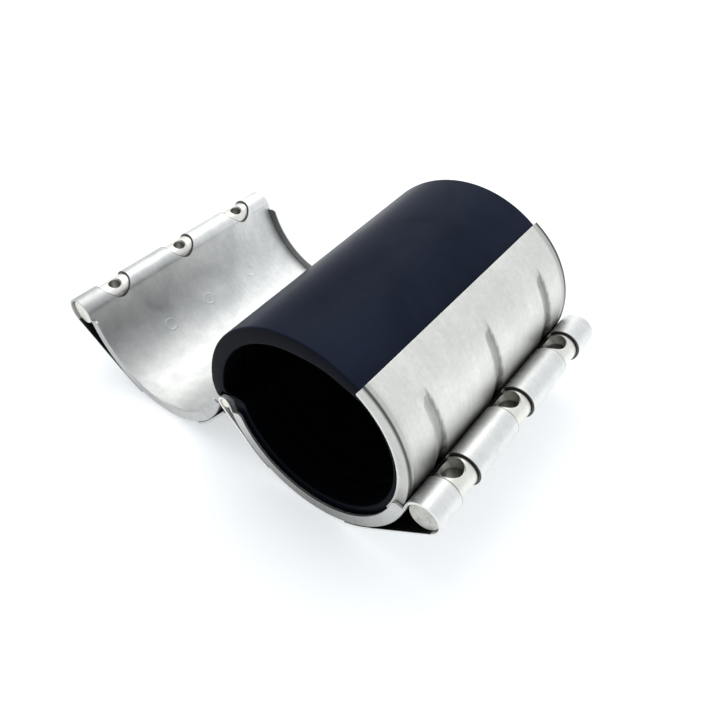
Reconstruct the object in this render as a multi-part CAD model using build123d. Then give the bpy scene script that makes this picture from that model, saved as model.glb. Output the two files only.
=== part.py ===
from build123d import *
import math
import os

# Hinged two-part pipe repair coupling, lying open with its screws out.
# The pipe runs along Y, the origin is the centre of the pipe bore, +Z is up.
# Both casing halves rest on their round backs. Millimetres and degrees.

# Pipe and rubber sleeve
PIPE_DIAMETER = 88.9
BORE_CLEARANCE = 0.05
SLEEVE_WALL = 9.0
SLEEVE_GAP = 0.3
SLIT_WIDTH = 0.8
GROOVE_DEPTH = 1.5
GROOVE_WIDTH = 4.0
GROOVE_FROM_END = (14.0, 24.0)

# The open side of the sleeve springs outward over the hinge
SPRUNG_GROWTH = 7.5
SPRUNG_TANGENT_ANGLE = 50.0
SPRUNG_SHELF_HEIGHT = -10.5
SPRUNG_LIP_RADIUS = 6.0
SPRUNG_BORE_TOP = 170.0
SPRUNG_BORE_FOOT = 192.0

# Casing sheet
SHEET = 1.2
COUPLING_LENGTH = 155.0
FLANGE_HEIGHT = 6.6
FLANGE_FIRST_ANGLE = 200.0
FLANGE_LAST_ANGLE = 346.0
FLANGE_CORNER = 2.5
EDGE_RADIUS = 0.9
LAP_ANGLE = 16.0

# Lock bars and screw line
BAR_DIAMETER = 16.0
BAR_CLEARANCE = 0.08
BAR_END_INSET = 1.5
BAR_CHAMFER = 0.6
BAR_ANGLE = -11.0
SCREW_PITCH = 52.0
SCREW_COUNT = 3
PLAIN_HOLE_DIAMETER = 9.0
COUNTERSINK_DIAMETER = 12.6
COUNTERSINK_DEPTH = 5.0
TAPPED_HOLE_DIAMETER = 6.8
TAPPED_CHAMFER_DIAMETER = 8.6
WINDOW_WIDTH = 16.0
WINDOW_INNER_EDGE = 7.2
WINDOW_CORNER = 2.5
WINDOW_REACH = 24.0
ROUND_WINDOW_WIDTH = 19.0
ROUND_WINDOW_SHIFT = 1.2

# Hinge
PIN_DIAMETER = 6.0
PIN_CLEARANCE = 0.05
PIN_END_INSET = 0.5
HINGE_ANGLE = 195.4
KNUCKLE_COUNT = 5
KNUCKLE_GAP = 0.6
KNUCKLE_RELIEF = 0.65
STRAP_RELIEF_RADIUS = 7.6
STRAP_RELIEF_ANGLE = 98.0

# Bridge plate over the slit of the sleeve
PLATE_SHEET = 1.0
PLATE_GAP = 0.3
PLATE_HALF_ANGLE = 41.6
PLATE_SLIDE = 4.0
PLATE_EDGE_RADIUS = 0.7
DENT_RADIUS = 14.0
DENT_DEPTH = 1.5

# Worked-out sizes
bore_radius = PIPE_DIAMETER / 2 + BORE_CLEARANCE
sleeve_radius = bore_radius + SLEEVE_WALL
casing_inner = sleeve_radius + SLEEVE_GAP
casing_outer = casing_inner + SHEET
casing_middle = casing_inner + SHEET / 2
flange_inner = casing_outer - FLANGE_HEIGHT
half_length = COUPLING_LENGTH / 2
loop_inner = BAR_DIAMETER / 2 + BAR_CLEARANCE
knuckle_inner = PIN_DIAMETER / 2 + PIN_CLEARANCE
plate_outer = casing_inner - PLATE_GAP
plate_inner = plate_outer - PLATE_SHEET
plate_half_length = half_length - SHEET - PLATE_GAP
sleeve_half_length = plate_half_length - PLATE_SHEET - PLATE_GAP
closing_line = HINGE_ANGLE - 180.0
screw_direction = closing_line + 90.0
screw_stations = [
    (index - (SCREW_COUNT - 1) / 2) * SCREW_PITCH for index in range(SCREW_COUNT)
]


def polar(radius, angle, centre=(0.0, 0.0)):
    """Point at a radius and angle from a centre, in the cross-section."""
    x = centre[0] + radius * math.cos(math.radians(angle))
    z = centre[1] + radius * math.sin(math.radians(angle))
    return (x, z)


bar_centre = polar(casing_middle + loop_inner + SHEET / 2, BAR_ANGLE)
pin_centre = polar(casing_middle + knuckle_inner + SHEET / 2, HINGE_ANGLE)


def prism(section, low, high):
    """Cross-section drawn as (x, z), extended along Y from low to high."""
    return Rot(90, 0, 0) * (Pos(0, 0, -high) * extrude(section, high - low))


def ring_sector(inner, outer, first, last, centre=(0.0, 0.0)):
    """Piece of a flat ring between two angles, counterclockwise."""
    span = last - first
    edges = [
        CenterArc(centre, outer, first, span),
        Line(polar(outer, last, centre), polar(inner, last, centre)),
        CenterArc(centre, inner, first, span),
        Line(polar(inner, first, centre), polar(outer, first, centre)),
    ]
    return make_face(edges)


def tangent_angle(roll_centre, roll_inner):
    """Half angle between a roll's centre line and its return strap."""
    distance = math.hypot(roll_centre[0], roll_centre[1])
    drop = casing_outer - roll_inner
    return math.degrees(math.acos(drop / distance))


def return_strap(roll_centre, roll_inner, angle):
    """Straight sheet from a roll back to the outside of the shell."""
    corners = [
        polar(casing_outer, angle),
        polar(casing_outer + SHEET, angle),
        polar(roll_inner + SHEET, angle, roll_centre),
        polar(roll_inner, angle, roll_centre),
    ]
    return make_face(Polyline(*corners, close=True))


def casing_section():
    """Bent sheet: pin roll, shell, bar roll and both return straps."""
    bar_strap = BAR_ANGLE - tangent_angle(bar_centre, loop_inner)
    pin_strap = HINGE_ANGLE + tangent_angle(pin_centre, knuckle_inner)
    shell = ring_sector(casing_inner, casing_outer, HINGE_ANGLE, BAR_ANGLE + 360)
    bar_roll = ring_sector(
        loop_inner, loop_inner + SHEET, bar_strap, BAR_ANGLE + 180, bar_centre
    )
    pin_roll = ring_sector(
        knuckle_inner, knuckle_inner + SHEET, closing_line, pin_strap, pin_centre
    )
    lap_outer = casing_outer + SHEET
    bar_lap = ring_sector(casing_outer, lap_outer, bar_strap - LAP_ANGLE, bar_strap)
    pin_lap = ring_sector(casing_outer, lap_outer, pin_strap, pin_strap + LAP_ANGLE)
    section = shell + bar_roll + pin_roll + bar_lap + pin_lap
    section += return_strap(bar_centre, loop_inner, bar_strap)
    section += return_strap(pin_centre, knuckle_inner, pin_strap)
    return section


def end_flange(low, high, inner, outer, first, last):
    """Inward flange at one end, with its inner corners rounded."""
    face = ring_sector(inner, outer, first, last)
    corners = face.vertices().sort_by(lambda v: math.hypot(v.X, v.Y))[:2]
    return prism(fillet(corners, FLANGE_CORNER), low, high)


def rim_rounding(outer, length, radius, first, last):
    """Cutters that round the outer rims of a flanged sheet at both ends."""
    corner = Pos(outer - radius / 2, length - radius / 2) * Rectangle(radius, radius)
    corner -= Pos(outer - radius, length - radius) * Circle(radius)
    cutter = Rot(0, -last, 0) * revolve(corner, Axis.Y, last - first)
    return [cutter, mirror(cutter, about=Plane.XZ)]


def round_windows():
    """Round-ended cuts through a bar roll, open on the outer side."""
    width = ROUND_WINDOW_WIDTH
    centre = polar(ROUND_WINDOW_SHIFT, closing_line, bar_centre)
    side = polar(ROUND_WINDOW_SHIFT + WINDOW_REACH / 2, closing_line, bar_centre)
    turn = Rot(0, -closing_line, 0)
    cuts = []
    for station in screw_stations:
        round_end = Pos(centre[0], station, centre[1]) * turn
        slot = Pos(side[0], station, side[1]) * turn
        cuts.append(round_end * Cylinder(width / 2, 2 * WINDOW_REACH))
        cuts.append(slot * Box(WINDOW_REACH, width, 2 * WINDOW_REACH))
    return cuts


def square_windows():
    """Square cuts through a bar roll, one corner rounded, open on the outer side."""
    middle = polar(WINDOW_REACH / 2 - WINDOW_INNER_EDGE, closing_line, bar_centre)
    turn = Rot(0, -closing_line, 0)
    window = Box(WINDOW_REACH, WINDOW_WIDTH, 2 * WINDOW_REACH)
    corner = window.edges().filter_by(Axis.Z).group_by(Axis.X)[0].sort_by(Axis.Y)[-1]
    window = fillet(corner, WINDOW_CORNER)
    return [Pos(middle[0], station, middle[1]) * turn * window for station in screw_stations]


def knuckle_spans(first):
    """Y ranges of every second knuckle, from the first one on."""
    pitch = COUPLING_LENGTH / KNUCKLE_COUNT
    spans = []
    for index in range(first, KNUCKLE_COUNT, 2):
        low = -half_length + index * pitch
        spans.append((low, low + pitch))
    return spans


def knuckle_cuts(first):
    """Room round the pin for the knuckles and straps of the other casing."""
    relief = Circle(knuckle_inner + SHEET + KNUCKLE_RELIEF)
    profile = Pos(pin_centre[0], pin_centre[1]) * relief
    last = HINGE_ANGLE + STRAP_RELIEF_ANGLE
    profile += ring_sector(SHEET, STRAP_RELIEF_RADIUS, HINGE_ANGLE, last, pin_centre)
    widen = KNUCKLE_GAP / 2
    return [
        prism(profile, low - widen, high + widen) for low, high in knuckle_spans(first)
    ]


def casing(first_knuckle, windows):
    """One casing half in the lower position."""
    body = prism(casing_section(), -half_length, half_length)
    angles = (FLANGE_FIRST_ANGLE, FLANGE_LAST_ANGLE)
    for low in (-half_length, half_length - SHEET):
        body += end_flange(low, low + SHEET, flange_inner, casing_middle, *angles)
    body -= rim_rounding(casing_outer, half_length, EDGE_RADIUS, *angles)
    body -= windows
    body -= knuckle_cuts(1 - first_knuckle)
    return body


def opened(piece):
    """Mirror image across the upright plane through the hinge pin."""
    return mirror(piece, about=Plane.YZ.offset(pin_centre[0]))


def lock_bar(hole_diameter, mouth_diameter, mouth_depth):
    """Round bar with cross holes and a conical mouth on the mating side."""
    length = COUPLING_LENGTH - 2 * BAR_END_INSET
    bar = Rot(90, 0, 0) * Cylinder(BAR_DIAMETER / 2, length)
    bar = chamfer(bar.edges().filter_by(GeomType.CIRCLE), BAR_CHAMFER)
    top = BAR_DIAMETER / 2
    cone = Cone(hole_diameter / 2, mouth_diameter / 2, mouth_depth)
    for station in screw_stations:
        bar -= Pos(0, station, 0) * Cylinder(hole_diameter / 2, 2 * BAR_DIAMETER)
        bar -= Pos(0, station, top - mouth_depth / 2) * cone
    turned = Rot(0, 90 - screw_direction, 0) * bar
    return Pos(bar_centre[0], 0, bar_centre[1]) * turned


def hinge_pin():
    """Round pin through all the knuckles."""
    length = COUPLING_LENGTH - 2 * PIN_END_INSET
    pin = Rot(90, 0, 0) * Cylinder(PIN_DIAMETER / 2, length)
    pin = chamfer(pin.edges().filter_by(GeomType.CIRCLE), BAR_CHAMFER)
    return Pos(pin_centre[0], 0, pin_centre[1]) * pin


def dent_tools(radius, turn=0.0):
    """Cylinders along the screws that press the dents into the plate."""
    distance = plate_outer + DENT_RADIUS - DENT_DEPTH
    angle = closing_line + turn
    x, z = polar(distance, angle)
    tools = []
    for station in screw_stations:
        place = Pos(x, station, z) * Rot(0, -angle, 0)
        tools.append(place * Cylinder(radius, 2 * plate_outer))
    return tools


def bridge_plate():
    """Curved strip with end flanges and three inward dents."""
    first = closing_line - PLATE_HALF_ANGLE
    last = closing_line + PLATE_HALF_ANGLE
    strip = ring_sector(plate_inner, plate_outer, first, last)
    plate = prism(strip, -plate_half_length, plate_half_length)
    for low in (-plate_half_length, plate_half_length - PLATE_SHEET):
        high = low + PLATE_SHEET
        plate += end_flange(low, high, flange_inner, plate_outer, first, last)
    plate -= rim_rounding(plate_outer, plate_half_length, PLATE_EDGE_RADIUS, first, last)
    inside = prism(Circle(plate_outer), -half_length, half_length)
    pressed = [tool & inside for tool in dent_tools(DENT_RADIUS + PLATE_SHEET)]
    return plate + pressed - dent_tools(DENT_RADIUS)


def sprung_lobe(growth_inward, boundary):
    """Part of the wider circle that the free side of the sleeve follows."""
    centre = polar(-SPRUNG_GROWTH, SPRUNG_TANGENT_ANGLE)
    circle = Circle(sleeve_radius + SPRUNG_GROWTH - growth_inward)
    window = make_face(Polyline(*boundary, close=True))
    return (Pos(centre[0], centre[1]) * circle) & window


def sleeve_outside():
    """Outer outline: round in the casing, sprung out over the hinge."""
    far = 2 * sleeve_radius
    boundary = [
        (0, 0),
        polar(far, SPRUNG_TANGENT_ANGLE),
        (-far, far),
        (-far, SPRUNG_SHELF_HEIGHT),
        (0, SPRUNG_SHELF_HEIGHT),
    ]
    lobe = sprung_lobe(0, boundary)
    lip = lobe.vertices().sort_by(Axis.X)[0]
    return Circle(sleeve_radius) + fillet(lip, SPRUNG_LIP_RADIUS)


def sleeve_inside():
    """Bore outline: the pipe circle, widened on the sprung side."""
    far = 2 * sleeve_radius
    centre = polar(-SPRUNG_GROWTH, SPRUNG_TANGENT_ANGLE)
    top = polar(bore_radius + SPRUNG_GROWTH, SPRUNG_BORE_TOP, centre)
    foot = polar(bore_radius, SPRUNG_BORE_FOOT)
    boundary = [
        (0, 0),
        polar(far, SPRUNG_TANGENT_ANGLE),
        (-far, far),
        (-far, top[1]),
        top,
        foot,
    ]
    return Circle(bore_radius) + sprung_lobe(SLEEVE_WALL, boundary)


def rubber_sleeve():
    """Slit rubber ring with a seat for the plate and sealing grooves."""
    inside = sleeve_inside()
    ring = sleeve_outside() - inside
    sleeve = prism(ring, -sleeve_half_length, sleeve_half_length)
    seat_half_angle = PLATE_HALF_ANGLE + PLATE_SLIDE + 1.0
    seat = ring_sector(
        plate_inner - PLATE_GAP,
        2 * sleeve_radius,
        closing_line - seat_half_angle,
        closing_line + seat_half_angle,
    )
    sleeve -= prism(seat, -half_length, half_length)
    for turn in (-PLATE_SLIDE, 0.0, PLATE_SLIDE):
        sleeve -= dent_tools(DENT_RADIUS + PLATE_SHEET + PLATE_GAP, turn)
    groove = offset(inside, GROOVE_DEPTH) - inside
    for from_end in GROOVE_FROM_END:
        start = sleeve_half_length - from_end
        sleeve -= prism(groove, start - GROOVE_WIDTH, start)
        sleeve -= prism(groove, -start, -start + GROOVE_WIDTH)
    middle = polar(sleeve_radius, closing_line)
    slit = Rot(0, -closing_line, 0) * Box(2 * SLEEVE_WALL + 10, COUPLING_LENGTH, SLIT_WIDTH)
    return sleeve - Pos(middle[0], 0, middle[1]) * slit


plain_bar = lock_bar(PLAIN_HOLE_DIAMETER, COUNTERSINK_DIAMETER, COUNTERSINK_DEPTH)
tapped_mouth = (TAPPED_CHAMFER_DIAMETER - TAPPED_HOLE_DIAMETER) / 2
tapped_bar = lock_bar(TAPPED_HOLE_DIAMETER, TAPPED_CHAMFER_DIAMETER, tapped_mouth)

pieces = {
    "lower_casing": casing(0, square_windows()),
    "upper_casing": opened(casing(1, round_windows())),
    "hinge_pin": hinge_pin(),
    "lower_lock_bar": plain_bar,
    "upper_lock_bar": opened(tapped_bar),
    "bridge_plate": bridge_plate(),
    "rubber_sleeve": rubber_sleeve(),
}

os.makedirs("parts", exist_ok=True)
for name, piece in pieces.items():
    export_step(piece, f"parts/{name}.step")
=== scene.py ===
import math

import bmesh
import bpy
from mathutils import Matrix, Vector


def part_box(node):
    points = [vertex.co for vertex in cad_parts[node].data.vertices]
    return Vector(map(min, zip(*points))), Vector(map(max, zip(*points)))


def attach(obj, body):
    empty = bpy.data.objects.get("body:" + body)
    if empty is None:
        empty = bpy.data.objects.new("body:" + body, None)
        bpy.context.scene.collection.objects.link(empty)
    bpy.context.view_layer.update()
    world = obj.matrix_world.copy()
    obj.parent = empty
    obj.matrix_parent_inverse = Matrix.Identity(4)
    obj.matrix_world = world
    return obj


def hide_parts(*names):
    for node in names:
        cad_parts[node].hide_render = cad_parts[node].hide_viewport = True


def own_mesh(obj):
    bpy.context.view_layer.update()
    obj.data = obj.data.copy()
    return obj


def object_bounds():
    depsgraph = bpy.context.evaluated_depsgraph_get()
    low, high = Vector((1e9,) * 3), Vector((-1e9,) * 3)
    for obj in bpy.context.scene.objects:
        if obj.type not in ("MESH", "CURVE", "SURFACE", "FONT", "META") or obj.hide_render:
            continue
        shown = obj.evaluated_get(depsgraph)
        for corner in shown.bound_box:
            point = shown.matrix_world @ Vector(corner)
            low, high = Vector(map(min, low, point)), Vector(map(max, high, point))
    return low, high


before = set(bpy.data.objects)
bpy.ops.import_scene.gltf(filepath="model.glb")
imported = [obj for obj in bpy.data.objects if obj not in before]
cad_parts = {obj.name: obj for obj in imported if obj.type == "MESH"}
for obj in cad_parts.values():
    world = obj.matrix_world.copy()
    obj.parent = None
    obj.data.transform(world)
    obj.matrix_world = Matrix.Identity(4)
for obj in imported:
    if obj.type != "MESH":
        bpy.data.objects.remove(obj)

CAD_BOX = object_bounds()
MM = 0.001


# ---------------------------------------------------------------- camera
CAMERA_PLACE = Vector((0.1411, -0.2291, 0.2336))
CAMERA_AZIMUTH = 40.47
CAMERA_ELEVATION = 42.38
CAMERA_ROLL = -2.68
CAMERA_LENS = 34.23
CAMERA_SHIFT = 0.05


def make_camera():
    """Camera at the photograph's angle; azimuth 0 looks along +Y."""
    azimuth = math.radians(CAMERA_AZIMUTH)
    elevation = math.radians(CAMERA_ELEVATION)
    roll = math.radians(CAMERA_ROLL)
    forward = Vector((
        -math.sin(azimuth) * math.cos(elevation),
        math.cos(azimuth) * math.cos(elevation),
        -math.sin(elevation),
    ))
    level = Vector((math.cos(azimuth), math.sin(azimuth), 0.0))
    upright = level.cross(forward)
    right = level * math.cos(roll) + upright * math.sin(roll)
    up = upright * math.cos(roll) - level * math.sin(roll)
    turn = Matrix((right, up, -forward)).transposed().to_4x4()
    data = bpy.data.cameras.new("camera")
    data.sensor_width = 36.0
    data.lens = CAMERA_LENS
    data.shift_x = CAMERA_SHIFT
    data.clip_start = 0.01
    data.clip_end = 50.0
    camera = bpy.data.objects.new("camera", data)
    camera.matrix_world = Matrix.Translation(CAMERA_PLACE) @ turn
    bpy.context.scene.collection.objects.link(camera)
    bpy.context.scene.camera = camera


# ---------------------------------------------------------------- node helpers
class Nodes:
    """Short way to add and link shader nodes."""

    def __init__(self, name):
        self.material = bpy.data.materials.new(name)
        self.material.use_nodes = True
        self.tree = self.material.node_tree
        self.shader = self.tree.nodes["Principled BSDF"]
        coordinates = self.tree.nodes.new("ShaderNodeTexCoord")
        self.place = coordinates.outputs["Object"]

    def add(self, kind, inputs=None, **settings):
        node = self.tree.nodes.new(kind)
        for key, value in settings.items():
            setattr(node, key, value)
        for key, value in (inputs or {}).items():
            socket = node.inputs[key]
            if isinstance(value, bpy.types.NodeSocket):
                self.tree.links.new(value, socket)
            else:
                socket.default_value = value
        return node

    def link(self, source, target):
        self.tree.links.new(source, target)

    def stretched(self, scale):
        """Object coordinates multiplied by a scale for each axis."""
        node = self.add("ShaderNodeMapping", {"Vector": self.place, "Scale": scale})
        return node.outputs["Vector"]

    def noise(self, scale, detail=3.0, roughness=0.55, place=None, distortion=0.0):
        node = self.add("ShaderNodeTexNoise", {
            "Vector": place or self.place,
            "Scale": scale,
            "Detail": detail,
            "Roughness": roughness,
            "Distortion": distortion,
        })
        return node.outputs["Fac"]

    def remap(self, value, low, high, to_low, to_high):
        node = self.add("ShaderNodeMapRange", {
            "Value": value,
            "From Min": low,
            "From Max": high,
            "To Min": to_low,
            "To Max": to_high,
        })
        return node.outputs["Result"]

    def split(self, vector):
        """X, Y and Z of a vector socket."""
        node = self.add("ShaderNodeSeparateXYZ", {"Vector": vector})
        return [node.outputs[axis] for axis in "XYZ"]

    def math(self, operation, first, second=0.0):
        node = self.add("ShaderNodeMath", {0: first, 1: second}, operation=operation)
        return node.outputs["Value"]

    def hypot(self, first, second):
        """Length of a two-part distance."""
        return self.math("SQRT", self.math(
            "ADD", self.math("MULTIPLY", first, first), self.math("MULTIPLY", second, second)
        ))

    def along(self, x, z, direction):
        """How far (x, z) reaches in a direction of the cross-section."""
        return self.math(
            "ADD", self.math("MULTIPLY", x, direction[0]), self.math("MULTIPLY", z, direction[1])
        )

    def shaded(self, colour, shade):
        """Colour multiplied by a brightness."""
        grey = self.add("ShaderNodeCombineColor", {"Red": shade, "Green": shade, "Blue": shade})
        return self.mix(1.0, colour, grey.outputs["Color"], "MULTIPLY")

    def mix(self, factor, first, second, blend="MIX"):
        node = self.add("ShaderNodeMix", data_type="RGBA", blend_type=blend)
        for socket, value in ((0, factor), (6, first), (7, second)):
            if isinstance(value, bpy.types.NodeSocket):
                self.link(value, node.inputs[socket])
            else:
                node.inputs[socket].default_value = value
        return node.outputs[2]

    def bump(self, height, distance, strength=1.0, below=None):
        inputs = {"Height": height, "Distance": distance, "Strength": strength}
        if below is not None:
            inputs["Normal"] = below
        return self.add("ShaderNodeBump", inputs).outputs["Normal"]


def rgb(red, green, blue):
    return (red, green, blue, 1.0)


# ---------------------------------------------------------------- materials
GRAIN_DEPTH = 0.00002
WELD_DEPTH = 0.00012
# Painted shadow tone on the cut edges of the bar rolls' windows
WINDOW_EDGE_SHADOW_TONE = 0.16
# Painted light and shade in the cross holes: brightness outside the bores, painted shade on the
# far side of the mouths
CONE_TONE = 1.1
CONE_SHADOW = 0.28
# Painted shadow tone in the hollow by the return strap
HOLLOW_SHADOW_TONE = 0.06


def window_distance(n, window):
    """Signed distance to the windows of a bar roll, negative inside them."""
    (bar_x, bar_z), direction, half_width, inner = window
    x, y, z = n.split(n.place)
    out = n.along(n.math("SUBTRACT", x, bar_x), n.math("SUBTRACT", z, bar_z), direction)
    nearest = None
    for station in SCREW_STATIONS:
        along = n.math("ABSOLUTE", n.math("SUBTRACT", y, station))
        if inner is None:
            past = n.math("MINIMUM", n.math("SUBTRACT", out, ROUND_WINDOW_SHIFT), 0.0)
            gap = n.math("SUBTRACT", n.hypot(past, along), half_width)
        else:
            gap = n.math(
                "MAXIMUM",
                n.math("SUBTRACT", along, half_width),
                n.math("SUBTRACT", -inner, out),
            )
        nearest = gap if nearest is None else n.math("MINIMUM", nearest, gap)
    return nearest


def hole_shade(n, hole):
    """Painted shade in the cross holes: dark bores and a shaded far side in their mouths."""
    (bar_x, bar_z), direction, bore, mouth, dark = hole
    x, y, z = n.split(n.place)
    out = n.along(n.math("SUBTRACT", x, bar_x), n.math("SUBTRACT", z, bar_z), direction)
    shade = None
    for station in SCREW_STATIONS:
        along = n.math("SUBTRACT", y, station)
        reach = n.hypot(out, along)
        wall = n.remap(reach, bore + 0.0001, bore + 0.0003, dark, CONE_TONE)
        far = n.remap(along, 0.0014, 0.0042, 1.0, CONE_SHADOW)
        outside = n.remap(reach, mouth - 0.0002, mouth + 0.0001, 0.0, 1.0)
        one = n.math("MULTIPLY", wall, n.math("MAXIMUM", far, outside))
        shade = one if shade is None else n.math("MINIMUM", shade, one)
    return shade


def steel(name, light, dark, rough, grain, marks=(), window=None, seat=None, hole=None,
          crevice=None):
    """Satin stainless steel: cloudy tone, fine rolled grain, faint scratches.

    marks are weld rings, window paints shadow on the cut edges of the bar roll's
    windows, seat paints a shadow line on the bar along them, and crevice gives a
    brightness from the node tree (painted shade on the casings and the plate, a
    darker end face on the bars).
    """
    n = Nodes(name)
    clouds = n.noise(28.0, 5.0, 0.6, distortion=0.4)
    blotches = n.noise(75.0, 4.0, 0.65)
    speckle = n.noise(420.0, 3.0, 0.7)
    lines = n.noise(1.0, 4.0, 0.7, place=n.stretched(grain))
    tone = n.math("ADD", n.math("MULTIPLY", clouds, 0.6), n.math("MULTIPLY", blotches, 0.4))
    tone = n.remap(tone, 0.34, 0.66, 0.0, 1.0)
    colour = n.mix(tone, rgb(*dark), rgb(*light))
    line_tone = n.remap(lines, 0.35, 0.65, 0.96, 1.03)
    fine_tone = n.remap(speckle, 0.3, 0.7, 0.95, 1.04)
    shade = n.math("MULTIPLY", line_tone, fine_tone)
    if crevice is not None:
        shade = n.math("MULTIPLY", shade, crevice(n))
    if window is not None:
        # painted shadow: a dark line along the cut edges of the windows
        gap = n.math("ABSOLUTE", window_distance(n, window))
        shade = n.math("MULTIPLY", shade, n.remap(gap, 0.0001, 0.0004, WINDOW_EDGE_SHADOW_TONE, 1.0))
    if seat is not None:
        # painted shadow: a dark line on the bar along the window edges
        gap = n.math("ABSOLUTE", n.math("ADD", window_distance(n, seat[0]), 0.0001))
        shade = n.math("MULTIPLY", shade, n.remap(gap, seat[1] * 0.35, seat[1], seat[2], 1.0))
    if hole is not None:
        shade = n.math("MULTIPLY", shade, hole_shade(n, hole))
    colour = n.shaded(colour, shade)
    smear = n.noise(60.0, 4.0, 0.6, distortion=1.2)
    roughness = n.math(
        "ADD",
        n.remap(smear, 0.3, 0.7, rough - 0.05, rough + 0.06),
        n.remap(lines, 0.3, 0.7, -0.02, 0.02),
    )
    scratches = n.add("ShaderNodeTexVoronoi", {
        "Vector": n.stretched((260.0, 18.0, 260.0)), "Scale": 1.0,
    }, feature="DISTANCE_TO_EDGE").outputs["Distance"]
    scratch = n.remap(scratches, 0.0, 0.02, 1.0, 0.0)
    scratch = n.math("MULTIPLY", scratch, n.remap(clouds, 0.5, 0.62, 0.0, 1.0))
    height = n.math("SUBTRACT", n.math("MULTIPLY", lines, 0.5), n.math("MULTIPLY", scratch, 0.15))
    height = n.math("ADD", height, n.math("MULTIPLY", speckle, 0.25))
    height = n.math("ADD", height, n.math("MULTIPLY", blotches, 1.6))
    normal = n.bump(height, GRAIN_DEPTH)
    for place, radius in marks:
        gap = n.add("ShaderNodeVectorMath", {0: n.place, 1: place}, operation="DISTANCE")
        ring = n.math("ABSOLUTE", n.math("SUBTRACT", gap.outputs["Value"], radius))
        ring = n.remap(ring, 0.0, 0.0007, 1.0, 0.0)
        spot = n.remap(gap.outputs["Value"], 0.0, radius, 1.0, 0.0)
        dimple = n.math("ADD", ring, n.math("MULTIPLY", spot, -0.6))
        normal = n.bump(dimple, WELD_DEPTH, 1.0, normal)
        roughness = n.math("ADD", roughness, n.math("MULTIPLY", ring, 0.08))
    n.link(colour, n.shader.inputs["Base Color"])
    n.link(roughness, n.shader.inputs["Roughness"])
    n.link(normal, n.shader.inputs["Normal"])
    n.shader.inputs["Metallic"].default_value = 1.0
    return n.material


def rubber(name):
    """Moulded black rubber: cloudy sheen, fine grain, painted shade darkening the ends and the
    bore, and a rougher bore.
    """
    n = Nodes(name)
    clouds = n.noise(22.0, 4.0, 0.6, distortion=0.5)
    grain = n.noise(900.0, 3.0, 0.6)
    flow = n.noise(1.0, 4.0, 0.65, place=n.stretched((90.0, 9.0, 90.0)))
    tone = n.remap(clouds, 0.3, 0.7, 0.0, 1.0)
    colour = n.mix(tone, rgb(0.0080, 0.0105, 0.0205), rgb(0.0135, 0.0178, 0.0325))
    # the shade attribute holds painted shade for the ends and the bore
    shade = n.add("ShaderNodeAttribute", attribute_name="shade").outputs["Fac"]
    colour = n.shaded(colour, shade)
    n.link(colour, n.shader.inputs["Base Color"])
    rough = n.math(
        "ADD",
        n.remap(clouds, 0.3, 0.7, 0.27, 0.35),
        n.remap(flow, 0.3, 0.7, -0.03, 0.03),
    )
    rough = n.math("ADD", rough, n.remap(shade, 0.04, 0.25, 0.5, 0.0))
    n.link(rough, n.shader.inputs["Roughness"])
    height = n.math("ADD", n.math("MULTIPLY", grain, 0.5), flow)
    n.link(n.bump(height, GRAIN_DEPTH), n.shader.inputs["Normal"])
    n.shader.inputs["IOR"].default_value = 1.1
    n.shader.inputs["Specular Tint"].default_value = rgb(0.7, 0.85, 1.0)
    return n.material


def plate_painted_light(n):
    """Painted shade and painted highlight stored with the plate's points."""
    return n.add("ShaderNodeAttribute", attribute_name="shade").outputs["Fac"]


def wedge_shadow(n, x, z):
    """Painted shadow in the hollow between the shell, the return strap and the bar roll."""
    turn = math.radians(STRAP_ANGLE)
    across = n.along(x, z, (math.cos(turn), math.sin(turn)))
    along = n.along(x, z, (-math.sin(turn), math.cos(turn)))
    reach = n.hypot(x, z)
    hollow = n.remap(across, 0.0551, 0.0555, 1.0, 0.0)
    hollow = n.math("MULTIPLY", hollow, n.remap(across, 0.0430, 0.0450, 0.0, 1.0))
    hollow = n.math("MULTIPLY", hollow, n.remap(reach, 0.0546, 0.0549, 0.0, 1.0))
    hollow = n.math("MULTIPLY", hollow, n.remap(along, 0.001, 0.004, 0.0, 1.0))
    hollow = n.math("MULTIPLY", hollow, n.remap(along, 0.0415, 0.0425, 1.0, 0.0))
    return n.remap(hollow, 0.0, 1.0, 1.0, HOLLOW_SHADOW_TONE)


def painted_flange_shade(n):
    """Painted shade: the end flange faces of the lower casing darker towards the bottom, and the
    painted shadow of its hollow.
    """
    x, y, z = n.split(n.place)
    face = n.remap(n.math("ABSOLUTE", y), 0.0758, 0.0766, 0.0, 1.0)
    # painted shade: flange faces darker towards the bottom
    face_brightness = n.remap(z, -0.052, -0.018, 0.32, 0.74)
    near = n.math("LESS_THAN", n.hypot(x, z), 0.0551)
    face = n.math("MULTIPLY", face, near)
    tone = n.math("ADD", n.math("MULTIPLY", face, n.math("SUBTRACT", face_brightness, 1.0)), 1.0)
    return n.math("MULTIPLY", tone, wedge_shadow(n, x, z))


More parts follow.
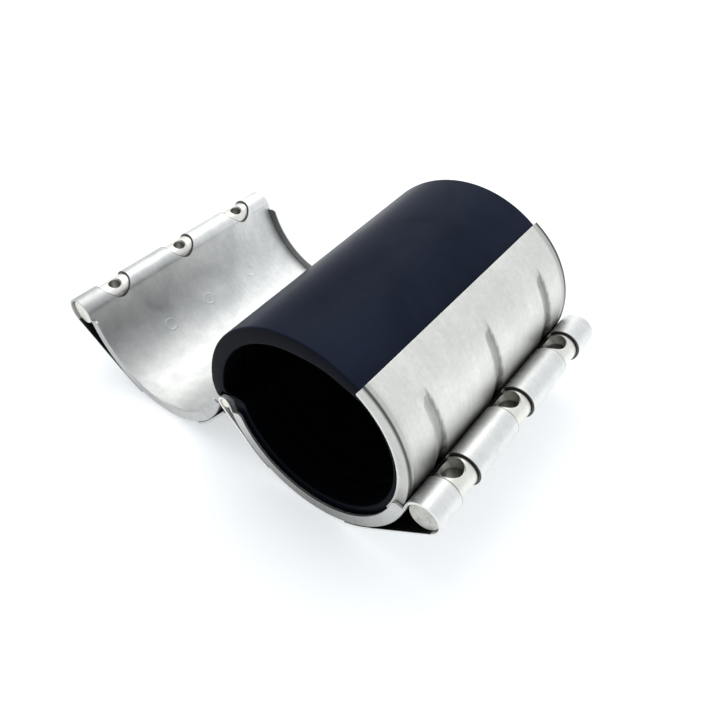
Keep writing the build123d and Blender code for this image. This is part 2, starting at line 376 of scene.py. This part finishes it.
def upper_painted_shade(n):
    """Painted shade: darker under the bar roll and towards the near end of the trough (lighter
    towards the far end), a dark band on the far flange, and the painted shadow of the hollow by
    the strap.
    """
    x, y, z = n.split(n.place)
    inside = n.remap(x, upper_bar[0] + 0.010, upper_bar[0] + 0.034, 0.82, 1.0)
    outside = n.math("LESS_THAN", x, upper_bar[0] + 0.0085)
    tone = n.math("MAXIMUM", inside, outside)
    tone = n.math("MULTIPLY", tone, n.remap(y, -0.077, 0.06, 0.68, 1.12))
    # painted shade: dark band on the inner face of the far flange
    flange = n.math("MULTIPLY", n.remap(y, 0.0757, 0.0761, 0.0, 1.0),
                    n.remap(y, 0.0765, 0.0769, 1.0, 0.0))
    flange = n.math("MULTIPLY", flange, n.math("GREATER_THAN", x, upper_bar[0] + 0.0095))
    tone = n.math("MULTIPLY", tone, n.remap(flange, 0.0, 1.0, 1.0, 0.3))
    mirrored = n.math("SUBTRACT", UPPER_AXIS, x)
    return n.math("MULTIPLY", tone, wedge_shadow(n, mirrored, z))


def bar_end_tone(face_brightness):
    """Sawn end faces made darker and mottled, with a dark line round them."""
    def tone(n):
        y = n.split(n.place)[1]
        face = n.remap(n.math("ABSOLUTE", y), 0.0757, 0.0759, 0.0, 1.0)
        worn = n.noise(260.0, 4.0, 0.7)
        flat = n.remap(worn, 0.35, 0.6, face_brightness - 0.22, face_brightness)
        rim = n.remap(n.math("ABSOLUTE", y), 0.0750, 0.0754, 0.0, 1.0)
        chamfer = n.math("SUBTRACT", rim, face)
        shade = n.math("ADD", n.math("MULTIPLY", face, n.math("SUBTRACT", flat, 1.0)), 1.0)
        return n.math("MULTIPLY", shade, n.remap(chamfer, 0.0, 1.0, 1.0, 0.1))
    return tone


# ---------------------------------------------------------------- mesh helpers
def mesh_object(name, points, faces, smooth_angle=35.0):
    """Mesh object from points in millimetres, shaded smooth by angle."""
    mesh = bpy.data.meshes.new(name)
    mesh.from_pydata([tuple(c * MM for c in p) for p in points], [], faces)
    mesh.validate()
    mesh.update()
    piece = bpy.data.objects.new(name, mesh)
    bpy.context.scene.collection.objects.link(piece)
    mesh.shade_smooth()
    mesh.set_sharp_from_angle(angle=math.radians(smooth_angle))
    return piece


def smooth(value):
    """Smooth step between 0 and 1."""
    value = max(0.0, min(1.0, value))
    return value * value * (3 - 2 * value)


def circle_reach(angle, centre, radius):
    """Distance from the origin to a circle round another centre."""
    along = centre[0] * math.cos(angle) + centre[1] * math.sin(angle)
    across = centre[0] * math.sin(angle) - centre[1] * math.cos(angle)
    return along + math.sqrt(radius * radius - across * across)


def box_centre(box):
    """(x, z) centre of a corner pair."""
    return ((box[0][0] + box[1][0]) / 2, (box[0][2] + box[1][2]) / 2)


def assign(piece, material):
    piece.data.materials.clear()
    piece.data.materials.append(material)


# ---------------------------------------------------------------- sizes, in millimetres
BORE_RADIUS = 44.5
SLEEVE_RADIUS = 53.5
SLEEVE_WALL = 9.0
SEAT_RADIUS = 52.2
PLATE_RADIUS = 53.5
PLATE_SHEET = 1.0
FLANGE_RADIUS = 47.5
FLANGE_CORNER = 0.7
BEND_RADIUS = 1.0
CLOSING_LINE = 15.4
PLATE_HALF_ANGLE = 41.6
SEAT_MARGIN = 5.0
SLIT_HALF_WIDTH = 0.4
SCREW_PITCH_MM = 52.0
STRAP_ANGLE = -52.95
DENT_DEPTH = 2.4
DENT_START = 37.0
DENT_END = -10.0
GROOVES_FROM_END = (14.0, 24.0)
GROOVE_WIDTH = 4.0
GROOVE_DEPTH = 1.5
RIM_RADIUS = 0.9
LIP_FIRST = 186.0
LIP_LAST = 193.0

# Painted shade on the rubber: brightness of its end faces and of its bore
END_FACE_SHADE = 0.25
BORE_SHADE = 0.04

STATIONS_MM = (-SCREW_PITCH_MM, 0.0, SCREW_PITCH_MM)
SCREW_STATIONS = tuple(SCREW_PITCH_MM * MM * step for step in (-1, 0, 1))
ROUND_WINDOW_SHIFT = 1.2 * MM

sleeve_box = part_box("rubber_sleeve")
plate_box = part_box("bridge_plate")
lower_bar_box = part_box("lower_lock_bar")
upper_bar_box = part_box("upper_lock_bar")
SLEEVE_END = sleeve_box[1][1] / MM
PLATE_END = plate_box[1][1] / MM


# ---------------------------------------------------------------- bridge plate
def crease_offset(angle, y):
    """How far a point is on the near side of the closest dent's crease."""
    run = (DENT_START - angle) / (DENT_START - DENT_END)
    creases = [station + 1.5 + 5.0 * run for station in STATIONS_MM]
    return min((crease - y for crease in creases), key=abs)


def dent_depth(angle, y):
    """Share of the full dent: steep at the crease, easing out on the near side."""
    along = smooth((DENT_START + 1 - angle) / 9) * (0.55 + 0.45 * smooth((30 - angle) / 40))
    offset = crease_offset(angle, y)
    if offset < 0:
        return along * smooth(1 + offset / 1.6)
    return along * smooth(1 - offset / (6.5 + 3.5 * along))


def rim_dip(y):
    """Shallow hollow of the strip just behind each end bend."""
    return 0.5 * smooth(1 - abs(abs(y) - (PLATE_END - 4.0)) / 3.0)


def painted_plate_shade(angle, y, radius):
    """Painted shade of the plate: dark in the dent creases, behind the end bends, down by the bar
    and towards the near lower part; the flanges darker towards the bottom with a painted
    highlight on their tips.
    """
    shade = 0.10 + 0.90 * smooth((angle + 13) / 34) ** 0.85
    if radius > PLATE_RADIUS - BEND_RADIUS * 0.4:
        behind = abs(PLATE_END - abs(y) - 1.3)
        strength = 0.62 * smooth((angle + 5) / 20) + 0.1
        shade *= 1 - strength * smooth(1 - behind / 1.5) - 0.26 * smooth(1 - behind / 6.0)
        shade *= 1 - 0.24 * smooth((-20 - y) / 50) * smooth((32 - angle) / 30)
    else:
        shade = 0.44 + 0.29 * smooth((angle + 20) / 25)
        # painted highlight along the flange tips
        shade += 0.3 * smooth((FLANGE_RADIUS + 0.6 - radius) / 0.5)
    along = smooth((DENT_START + 3 - angle) / 6)
    offset = crease_offset(angle, y)
    # painted shade along the dent creases
    shade *= 1 - 0.5 * along * smooth(1 - abs(offset + 0.4) / 1.2)
    shade *= 1 - 0.22 * along * smooth(1 - abs(offset - 2.0) / 4.0)
    return max(shade, 0.05)


def flange_tip(first, last, angle):
    """Inner radius of an end flange, with its corners rounded."""
    arc = math.radians(min(angle - first, last - angle)) * FLANGE_RADIUS
    short = max(0.0, FLANGE_CORNER - arc)
    return FLANGE_RADIUS + FLANGE_CORNER - math.sqrt(FLANGE_CORNER ** 2 - short ** 2)


def plate_profile(tip):
    """(y, radius) points of one end: up the flange and round the bend."""
    top = PLATE_RADIUS - BEND_RADIUS
    rise = [(-PLATE_END, tip + (top - tip) * step / 3) for step in range(4)]
    bend = []
    for step in range(1, 7):
        turn = math.radians(15 * step)
        y = -PLATE_END + BEND_RADIUS * (1 - math.cos(turn))
        bend.append((y, top + BEND_RADIUS * math.sin(turn)))
    return rise + bend


def build_plate():
    """Strip with end flanges, bend radii and three pressed dents."""
    first = CLOSING_LINE - PLATE_HALF_ANGLE
    last = CLOSING_LINE + PLATE_HALF_ANGLE
    angle_steps, length_steps = 150, 190
    points, shades, row_length = [], [], 0
    for i in range(angle_steps + 1):
        angle = first + (last - first) * i / angle_steps
        end = plate_profile(flange_tip(first, last, angle))
        start_y = end[-1][0]
        flat = []
        for j in range(1, length_steps):
            y = start_y - 2 * start_y * j / length_steps
            dip = DENT_DEPTH * dent_depth(angle, y) + rim_dip(y)
            flat.append((y, PLATE_RADIUS - dip))
        row = end + flat + [(-y, radius) for y, radius in reversed(end)]
        row_length = len(row)
        turn = math.radians(angle)
        points += [(r * math.cos(turn), y, r * math.sin(turn)) for y, r in row]
        shades += [painted_plate_shade(angle, y, r) for y, r in row]
    faces = []
    for i in range(angle_steps):
        for j in range(row_length - 1):
            a = i * row_length + j
            faces.append((a, a + row_length, a + row_length + 1, a + 1))
    plate = mesh_object("bridge_plate_skin", points, faces, 60.0)
    tone = plate.data.attributes.new("shade", "FLOAT", "POINT")
    tone.data.foreach_set("value", shades)
    sheet_thickness = plate.modifiers.new("sheet", "SOLIDIFY")
    sheet_thickness.thickness = PLATE_SHEET * MM
    sheet_thickness.offset = -1.0 if faces_outward(plate) else 1.0
    edge = plate.modifiers.new("edge", "BEVEL")
    edge.width = 0.22 * MM
    edge.segments = 2
    edge.limit_method = "ANGLE"
    edge.angle_limit = math.radians(50)
    return plate


def faces_outward(piece):
    """True if the normals of an open curved sheet point away from the pipe axis."""
    total = 0.0
    for polygon in piece.data.polygons:
        total += polygon.normal.x * polygon.center.x + polygon.normal.z * polygon.center.z
    return total > 0


# ---------------------------------------------------------------- rubber sleeve
def sleeve_reach(angle, share):
    """Outer radius of the sleeve where it stands free, from near end to far end."""
    centre = (-5.5 - 2.2 * share, -9.5 + 5.9 * share)
    radius = 60.7 - 1.4 * share
    return circle_reach(math.radians(angle), centre, radius)


def outer_radius(angle, y, share):
    """Outer radius of the sleeve at an angle from 0 to 360 degrees."""
    seam = CLOSING_LINE + PLATE_HALF_ANGLE
    seat = SEAT_RADIUS
    for station in STATIONS_MM:
        seat = min(seat, SEAT_RADIUS - 3.0 * smooth(2.2 - abs(y - station) / 9.0))
    seat_end = 360 + CLOSING_LINE - PLATE_HALF_ANGLE - SEAT_MARGIN
    if angle <= LIP_FIRST:
        free = smooth((angle - seam + 7) / 9)
        seat = seat + (SEAT_RADIUS - seat) * smooth((angle - 41) / 6)
        return seat + (sleeve_reach(angle, share) - seat) * free
    return SLEEVE_RADIUS + (seat - SLEEVE_RADIUS) * smooth((angle - seat_end) / 1.0)


def inner_radius(angle, outer):
    """Bore radius: the pipe's, or one wall inside the sprung outer side."""
    if angle >= LIP_LAST:
        return BORE_RADIUS
    sprung = max(outer - SLEEVE_WALL, 42.3)
    return BORE_RADIUS + (sprung - BORE_RADIUS) * smooth((angle - 40) / 30)


def spline(controls, steps):
    """Quadratic B-spline points through a short list of (x, z) controls."""
    start, end = controls[0], controls[-1]
    middle = controls[1:-1]
    knots = [start] + [
        ((a[0] + b[0]) / 2, (a[1] + b[1]) / 2) for a, b in zip(middle, middle[1:])
    ] + [end]
    points = []
    for (a, b), via in zip(zip(knots, knots[1:]), middle):
        for step in range(1, steps + 1):
            t = step / steps
            points.append(tuple(
                (1 - t) ** 2 * p + 2 * t * (1 - t) * q + t * t * r
                for p, q, r in zip(a, via, b)
            ))
    return points


def polar(radius, angle):
    turn = math.radians(angle)
    return (radius * math.cos(turn), radius * math.sin(turn))


def sleeve_section(y):
    """Paired outer and inner (x, z) points of the open ring at one station."""
    share = (y + SLEEVE_END) / (2 * SLEEVE_END)
    slit = math.degrees(SLIT_HALF_WIDTH / SLEEVE_RADIUS)
    free = [
        CLOSING_LINE + slit + (LIP_FIRST - CLOSING_LINE - slit) * i / 150 for i in range(151)
    ]
    end = 360 + CLOSING_LINE - slit
    held = [LIP_LAST + (end - LIP_LAST) * i / 150 for i in range(1, 151)]
    outer = [polar(outer_radius(a, y, share), a) for a in free]
    inner = [polar(inner_radius(a, outer_radius(a, y, share)), a) for a in free]
    lip_start, bore_start = outer[-1], inner[-1]
    side = lip_start[0] + 0.7
    outer += spline([
        lip_start, (side, -12.6), (-63.5, -16.4), (-61.6, -16.0), (-61.5, -10.4),
        (-56.5, -10.3), polar(SLEEVE_RADIUS, LIP_LAST),
    ], 6)
    inner += spline([
        bore_start, (bore_start[0] + 0.3, -7.6), (-55.2, -9.3), (-52.5, -9.0), (-49.0, -8.8),
        (-46.0, -8.9), polar(BORE_RADIUS, LIP_LAST),
    ], 6)
    outer += [polar(outer_radius(a, y, share), a) for a in held]
    inner += [polar(inner_radius(a, 0.0), a) for a in held]
    return outer, inner


def groove_depth(y):
    """Depth of the four sealing grooves in the bore."""
    depth = 0.0
    for from_end in GROOVES_FROM_END:
        middle = SLEEVE_END - from_end - GROOVE_WIDTH / 2
        gap = abs(abs(y) - middle)
        depth = max(depth, smooth((GROOVE_WIDTH / 2 + 0.4 - gap) / 0.8))
    return depth * GROOVE_DEPTH


def sleeve_stations():
    """(y, edge inset) along the sleeve, close together at edges and grooves."""
    ends = [
        (SLEEVE_END - RIM_RADIUS * (1 - math.cos(math.radians(18 * step))),
         RIM_RADIUS * (1 - math.sin(math.radians(18 * step))))
        for step in range(6)
    ]
    body = SLEEVE_END - RIM_RADIUS
    steps = 150
    middle = [(-body + 2 * body * i / steps, 0.0) for i in range(1, steps)]
    near = [(-y, inset) for y, inset in ends]
    far = [(y, inset) for y, inset in reversed(ends)]
    return near + middle + far


def toward(point, other, distance):
    """Point moved toward another, at most 40% of the way."""
    gap = math.dist(point, other)
    share = min(distance / gap, 0.4)
    return tuple(p + (q - p) * share for p, q in zip(point, other))


def build_sleeve():
    """Thick rubber ring with rounded rims, a slit, grooves and a sprung lip."""
    points, shades, loops, half = [], [], [], 0
    for y, inset in sleeve_stations():
        outer, inner = sleeve_section(y)
        groove = groove_depth(y)
        rounded_outer = [toward(o, i, inset) for o, i in zip(outer, inner)]
        rounded_inner = [toward(i, o, inset + min(groove, 0.3 * math.dist(i, o)))
                         for o, i in zip(outer, inner)]
        half = len(outer)
        loops.append(len(points))
        ring = rounded_outer + rounded_inner[::-1]
        points += [(x, y, z) for x, z in ring]
        # painted shade: end faces and bore darker than the outside
        end_tone = 1 - smooth(inset / RIM_RADIUS)
        shades += [END_FACE_SHADE + (1 - END_FACE_SHADE) * end_tone] * half
        shades += [END_FACE_SHADE + (BORE_SHADE - END_FACE_SHADE) * end_tone] * half
    around = 2 * half
    faces = []
    for start, following in zip(loops, loops[1:]):
        for k in range(around):
            after = (k + 1) % around
            faces.append((start + k, start + after, following + after, following + k))
    for start, turned in ((loops[0], True), (loops[-1], False)):
        for k in range(half - 1):
            quad = [start + k, start + k + 1, start + around - 2 - k, start + around - 1 - k]
            faces.append(tuple(quad[::-1] if turned else quad))
    sleeve = mesh_object("rubber_ring", points, faces, 50.0)
    tone = sleeve.data.attributes.new("shade", "FLOAT", "POINT")
    tone.data.foreach_set("value", shades)
    outward(sleeve)
    return sleeve


def outward(piece):
    """Turns all faces of a closed mesh to point out."""
    mesh = bmesh.new()
    mesh.from_mesh(piece.data)
    bmesh.ops.recalc_face_normals(mesh, faces=mesh.faces)
    mesh.to_mesh(piece.data)
    mesh.free()


# ---------------------------------------------------------------- pieces and materials
make_camera()
scene = bpy.context.scene
scene.view_settings.view_transform = "Standard"

lower_bar = box_centre(lower_bar_box)
upper_bar = box_centre(upper_bar_box)
out_line = math.radians(CLOSING_LINE)
LOWER_WINDOW = (lower_bar, (math.cos(out_line), math.sin(out_line)), 8.0 * MM, 7.2 * MM)
UPPER_WINDOW = (upper_bar, (-math.cos(out_line), math.sin(out_line)), 9.5 * MM, None)
UPPER_AXIS = lower_bar[0] + upper_bar[0]
WELDS = tuple(((-0.1503, y, -0.0377), 0.0035) for y in (-0.034, -0.001, 0.038))
grain = (30.0, 900.0, 30.0)
lower_sheet = steel("lower_sheet", (0.90, 0.90, 0.87), (0.76, 0.77, 0.76), 0.44, grain,
                    window=LOWER_WINDOW, crevice=painted_flange_shade)
upper_sheet = steel("upper_sheet", (0.88, 0.88, 0.86), (0.64, 0.65, 0.65), 0.47, grain,
                    marks=WELDS, window=UPPER_WINDOW, crevice=upper_painted_shade)
bar_light, bar_dark = (0.86, 0.85, 0.79), (0.70, 0.69, 0.63)
bar_grain = (40.0, 700.0, 40.0)
# Cross holes: bar axis, out direction, bore and mouth radii, and the painted shade tone of the
# bore
LOWER_HOLE = (lower_bar, LOWER_WINDOW[1], 4.5 * MM, 6.3 * MM, 0.42)
UPPER_HOLE = (upper_bar, UPPER_WINDOW[1], 3.4 * MM, 4.3 * MM, 0.7)
# seat: window, width and tone of the painted shadow line on each bar along its windows
lower_bar_metal = steel("lower_bar_steel", bar_light, bar_dark, 0.4, bar_grain,
                        seat=(LOWER_WINDOW, 1.4 * MM, 0.06), hole=LOWER_HOLE,
                        crevice=bar_end_tone(0.70))
upper_bar_metal = steel("upper_bar_steel", bar_light, bar_dark, 0.4, bar_grain,
                        seat=(UPPER_WINDOW, 0.9 * MM, 0.3), hole=UPPER_HOLE,
                        crevice=bar_end_tone(1.0))
plate_metal = steel("plate_sheet", (0.89, 0.88, 0.84), (0.75, 0.75, 0.71), 0.47, grain,
                    crevice=plate_painted_light)
pin_metal = steel("pin_steel", (0.90, 0.87, 0.74), (0.76, 0.73, 0.62), 0.35, (60.0, 700.0, 60.0))
black = rubber("black_rubber")
for node, material in (
    ("lower_casing", lower_sheet), ("upper_casing", upper_sheet), ("hinge_pin", pin_metal),
    ("lower_lock_bar", lower_bar_metal), ("upper_lock_bar", upper_bar_metal),
    ("bridge_plate", lower_sheet), ("rubber_sleeve", black),
):
    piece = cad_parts[node]
    for slot in range(len(piece.data.materials)):
        piece.data.materials[slot] = material

plate = build_plate()
assign(plate, plate_metal)
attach(plate, "bridge")
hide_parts("bridge_plate")

sleeve = build_sleeve()
assign(sleeve, black)
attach(sleeve, "lower_half")
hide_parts("rubber_sleeve")
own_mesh(sleeve)

# ---------------------------------------------------------------- stage
FLOOR = CAD_BOX[0][2]
floor_mesh = bpy.data.meshes.new("floor")
floor_mesh.from_pydata(
    [(-4, -4, FLOOR), (4, -4, FLOOR), (4, 4, FLOOR), (-4, 4, FLOOR)], [], [(0, 1, 2, 3)]
)
floor = bpy.data.objects.new("floor", floor_mesh)
scene.collection.objects.link(floor)
floor_look = Nodes("floor")
floor_look.shader.inputs["Base Color"].default_value = rgb(0.70, 0.71, 0.72)
floor_look.shader.inputs["Roughness"].default_value = 0.9
floor_look.shader.inputs["Specular IOR Level"].default_value = 0.0
floor_look.shader.inputs["Emission Color"].default_value = rgb(0.97, 0.99, 1.0)
floor_look.shader.inputs["Emission Strength"].default_value = 0.4
assign(floor, floor_look.material)

world = bpy.data.worlds.new("studio")
scene.world = world
world.use_nodes = True
background = world.node_tree.nodes["Background"]
background.inputs["Color"].default_value = rgb(0.94, 0.97, 1.0)
background.inputs["Strength"].default_value = 0.86


def softbox(name, place, aim, size, power, colour):
    data = bpy.data.lights.new(name, "AREA")
    data.shape = "RECTANGLE"
    data.size, data.size_y = size
    data.energy = power
    data.color = colour
    lamp = bpy.data.objects.new(name, data)
    lamp.location = place
    lamp.rotation_euler = (Vector(aim) - Vector(place)).to_track_quat("-Z", "Y").to_euler()
    scene.collection.objects.link(lamp)


softbox("key", (-0.35, 0.25, 0.9), (-0.02, 0.0, 0.0), (0.9, 0.9), 4.5, (1.0, 0.99, 0.97))
